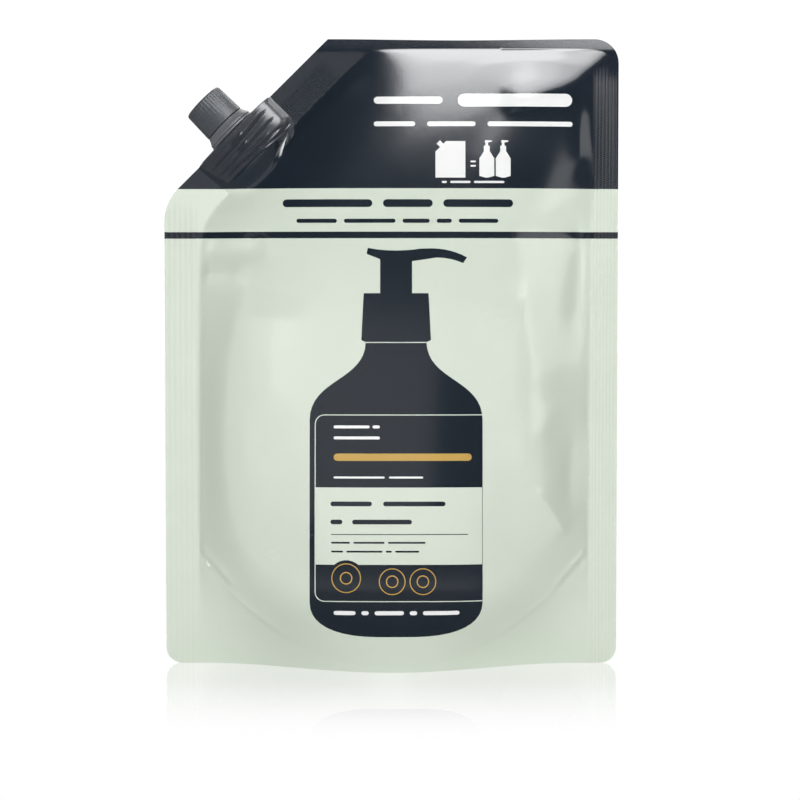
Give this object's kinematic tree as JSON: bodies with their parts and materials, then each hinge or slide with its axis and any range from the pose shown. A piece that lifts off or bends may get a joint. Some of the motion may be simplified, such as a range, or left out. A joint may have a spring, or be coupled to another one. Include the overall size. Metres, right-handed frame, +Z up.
{
  "type": "hand soap refill pouch",
  "caption": "Stand-up film pouch of liquid soap with a bottom gusset, a cut corner, and a welded pour spout with tamper band, screw cap and liner.",
  "frame": {"origin": "on the surface the pouch stands on, under the middle of the pouch", "axes": "+Z up, +X to the right seen from the front, +Y to the back; the spout is at -X +Z and points along -X +Z"},
  "size_m": [0.19, 0.0566, 0.262],
  "materials": {
    "film": "semi-gloss printed laminate film, pale sage below and charcoal above",
    "spout_plastic": "charcoal moulded polyethylene",
    "band_plastic": "charcoal moulded polyethylene, smooth",
    "cap_plastic": "charcoal moulded polyethylene, ribbed",
    "liner_foam": "white expanded polyethylene"
  },
  "bodies": {
    "pouch": {"pouch": "film", "spout": "spout_plastic", "tamper_band": "band_plastic"},
    "cap_liner": {"cap_liner": "liner_foam"},
    "cap": {"cap": "cap_plastic"}
  },
  "joints": [
    {"name": "cap_lift", "type": "slide", "parent": "pouch", "child": "cap_liner", "axis": [-0.7071, 0, 0.7071], "range_m": [0, 0.0125]},
    {"name": "cap_turn", "type": "hinge", "parent": "cap_liner", "child": "cap", "pos_m": [-0.06589, 0, 0.22311], "axis": [-0.7071, 0, 0.7071], "range_deg": [0, 900]}
  ],
  "couplings": [
    {"joint": "cap_lift", "follows": "cap_turn", "m_per_rad": 0.00079577}
  ]
}
